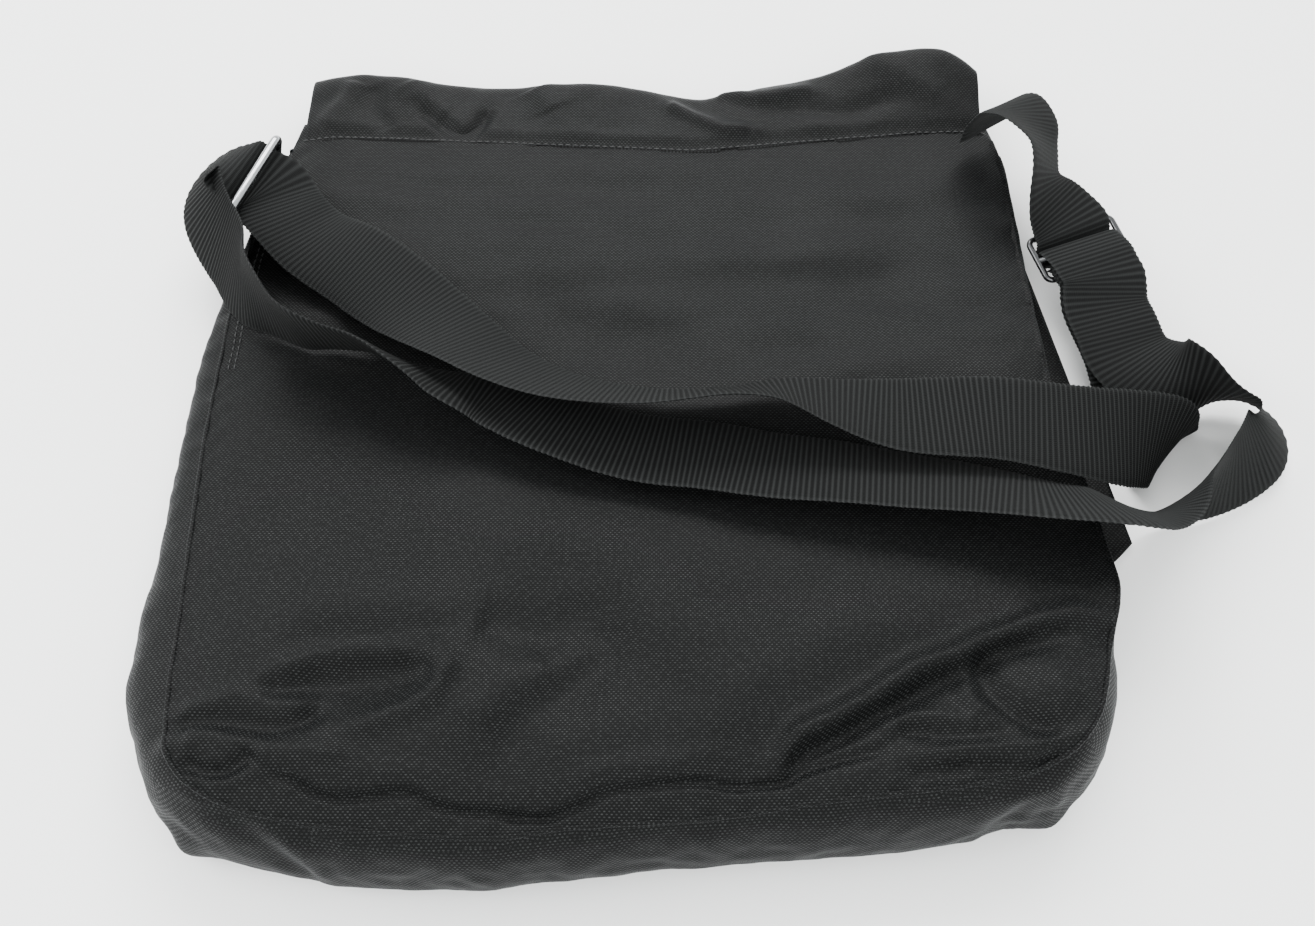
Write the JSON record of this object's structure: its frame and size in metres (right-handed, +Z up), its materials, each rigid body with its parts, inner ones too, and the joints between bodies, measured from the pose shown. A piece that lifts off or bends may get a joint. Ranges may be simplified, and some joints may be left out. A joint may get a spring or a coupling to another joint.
{
  "type": "crossbody messenger bag",
  "caption": "Soft flat shoulder bag lying on its flap, back panel up, with a wide webbing strap folded over it and looped through a metal ring and a slider.",
  "frame": {"origin": "on the flat underside of the flap that the bag lies on, below the middle of the back panel", "axes": "+X across the bag to its right as it lies, +Y from its bottom seam to its mouth, +Z up from the surface it lies on"},
  "size_m": [0.4702, 0.3871, 0.0699],
  "materials": {
    "nylon": "woven, faint sheen",
    "webbing": "ribbed, satin",
    "ring_metal": "polished dark",
    "slider_metal": "glossy black"
  },
  "bodies": {
    "root": {"back_panel": "nylon", "front_panel": "nylon", "gusset_left": "nylon", "gusset_bottom": "nylon", "gusset_right": "nylon", "flap": "nylon", "ring_tab": "webbing", "strap_corner": "webbing", "strap_upper": "webbing", "strap_lower": "webbing", "ring": "ring_metal", "slider": "slider_metal"}
  },
  "joints": []
}
